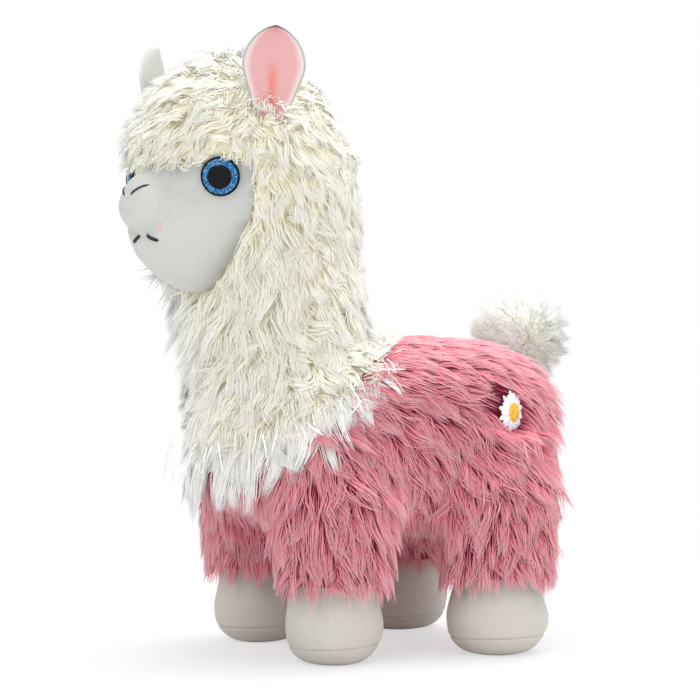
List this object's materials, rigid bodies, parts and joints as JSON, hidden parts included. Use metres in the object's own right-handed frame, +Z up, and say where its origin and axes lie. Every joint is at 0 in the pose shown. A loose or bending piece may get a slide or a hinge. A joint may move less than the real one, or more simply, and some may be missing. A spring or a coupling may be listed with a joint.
{
  "type": "plush alpaca toy",
  "caption": "Standing stuffed alpaca with curly head and neck, smooth face, fluffy collar, shaggy trunk and legs, short feet and pompom tail.",
  "frame": {"origin": "on the ground under the middle of the overall box", "axes": "+Z up, -Y the way the body faces, +X the animal's left side"},
  "size_m": [0.1574, 0.239, 0.2981],
  "materials": {
    "pink_pile": "long shaggy pile",
    "cream_pile": "curly pile",
    "white_long_pile": "long pile",
    "white_short_pile": "short velour pile",
    "pink_lining": "smooth woven",
    "black_plastic": "moulded, glossy",
    "glitter_disc": "printed glitter",
    "clear_plastic": "clear, polished",
    "nylon": "moulded",
    "fibre": "loose fibre",
    "black_thread": "embroidery thread",
    "white_thread": "embroidery thread",
    "yellow_thread": "embroidery thread"
  },
  "bodies": {
    "root": {"body_cover": "pink_pile", "head_neck_cover": "cream_pile", "neck_ruff": "white_long_pile", "face_panel": "white_short_pile", "fibre_fill": "fibre", "tail_cover": "cream_pile", "tail_fill": "fibre", "front_left_foot": "white_short_pile", "front_left_sole": "white_short_pile", "front_right_foot": "white_short_pile", "front_right_sole": "white_short_pile", "rear_left_foot": "white_short_pile", "rear_left_sole": "white_short_pile", "rear_right_foot": "white_short_pile", "rear_right_sole": "white_short_pile", "eye_cup_left": "black_plastic", "eye_iris_left": "glitter_disc", "eye_lens_left": "clear_plastic", "eye_washer_left": "nylon", "ear_back_left": "white_short_pile", "ear_lining_left": "pink_lining", "nostril_stitch_left": "black_thread", "mouth_stitch_left": "black_thread", "eye_cup_right": "black_plastic", "eye_iris_right": "glitter_disc", "eye_lens_right": "clear_plastic", "eye_washer_right": "nylon", "ear_back_right": "white_short_pile", "ear_lining_right": "pink_lining", "nostril_stitch_right": "black_thread", "mouth_stitch_right": "black_thread", "daisy_petals": "white_thread", "daisy_centre": "yellow_thread"}
  },
  "joints": []
}
